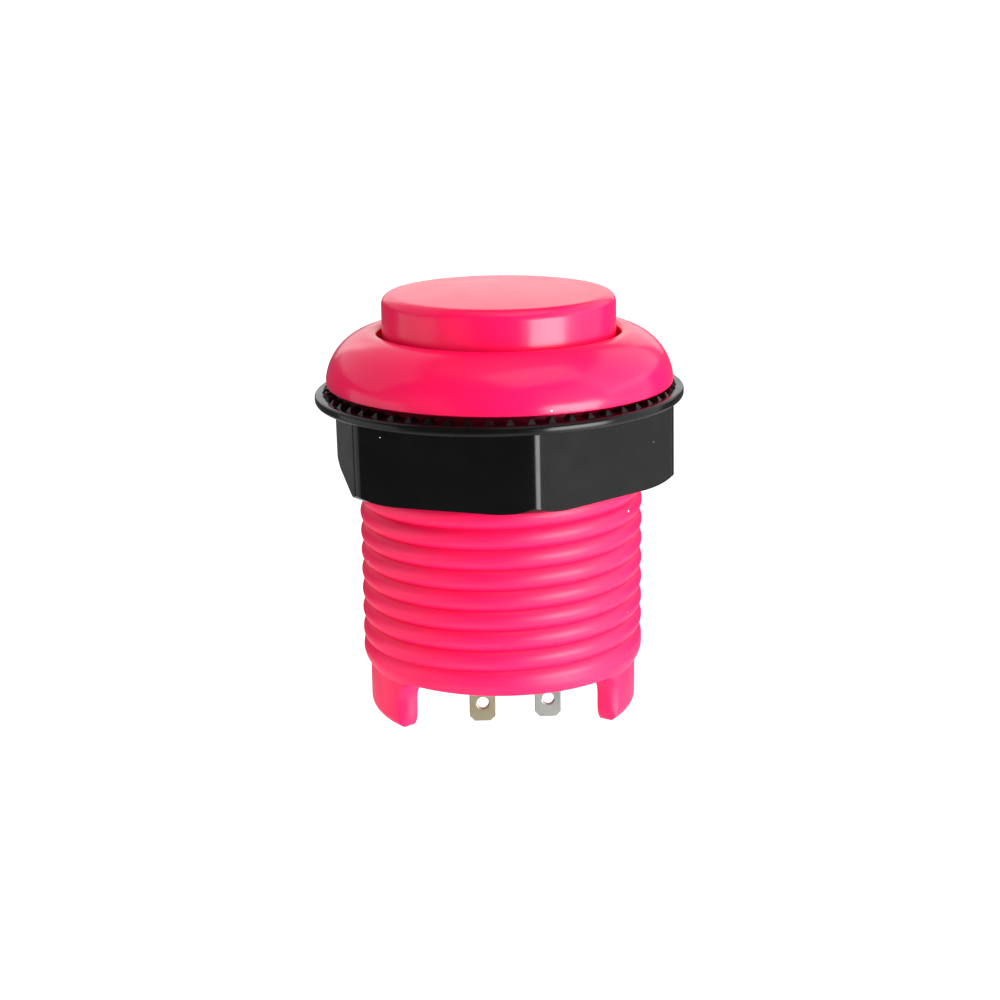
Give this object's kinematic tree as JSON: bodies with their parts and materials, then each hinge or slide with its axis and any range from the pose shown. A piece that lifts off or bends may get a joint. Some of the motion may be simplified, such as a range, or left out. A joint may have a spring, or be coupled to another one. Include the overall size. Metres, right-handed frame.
{
  "type": "arcade push button",
  "caption": "Screw-in arcade push button: sprung round plunger in a domed bezel, threaded barrel with toothed hexagon nut, and a small switch with tab terminals at its foot.",
  "frame": {"origin": "on the plunger's axis at the bezel's underside, which is the plane of the panel", "axes": "+Z along the plunger's axis, out of the panel towards the user; the barrel's two feet stand along X"},
  "size_m": [0.0349, 0.0348, 0.0426],
  "materials": {
    "pink_shell": "glossy hot pink moulding",
    "pink_plunger": "glossy hot pink moulding",
    "black_nut": "black moulding with a soft gloss",
    "spring_steel": "bright drawn wire",
    "switch_black": "matt black moulding",
    "button_red": "matt red moulding",
    "terminal_brass": "stamped brass",
    "terminal_tin": "tin plate",
    "blade_copper": "rolled copper alloy",
    "contact_silver": "silver"
  },
  "bodies": {
    "housing": {"housing": "pink_shell", "lock_nut": "black_nut", "return_spring": "spring_steel", "switch_base": "switch_black", "switch_cover": "switch_black", "common_terminal": "terminal_brass", "open_terminal": "terminal_tin", "fixed_contact": "contact_silver"},
    "plunger": {"plunger": "pink_plunger"},
    "switch_button": {"switch_button": "button_red"},
    "blade": {"moving_blade": "blade_copper", "moving_contact": "contact_silver"}
  },
  "joints": [
    {"name": "plunger_press", "type": "slide", "parent": "housing", "child": "plunger", "axis": [0, 0, -1], "range_m": [0, 0.003], "stiffness_N_per_m": 200, "springref_m": -0.003, "deforming": ["return_spring"]},
    {"name": "button_press", "type": "slide", "parent": "housing", "child": "switch_button", "axis": [0, 0, -1], "range_m": [0, 0.0004]},
    {"name": "blade_tilt", "type": "hinge", "parent": "housing", "child": "blade", "pos_m": [-0.00402, 0, -0.02297], "axis": [0, 1, 0], "range_deg": [0, 5.69]}
  ],
  "couplings": [
    {"joint": "button_press", "follows": "plunger_press", "ratio": 0.13333},
    {"joint": "blade_tilt", "follows": "plunger_press", "rad_per_m": 33.05}
  ]
}
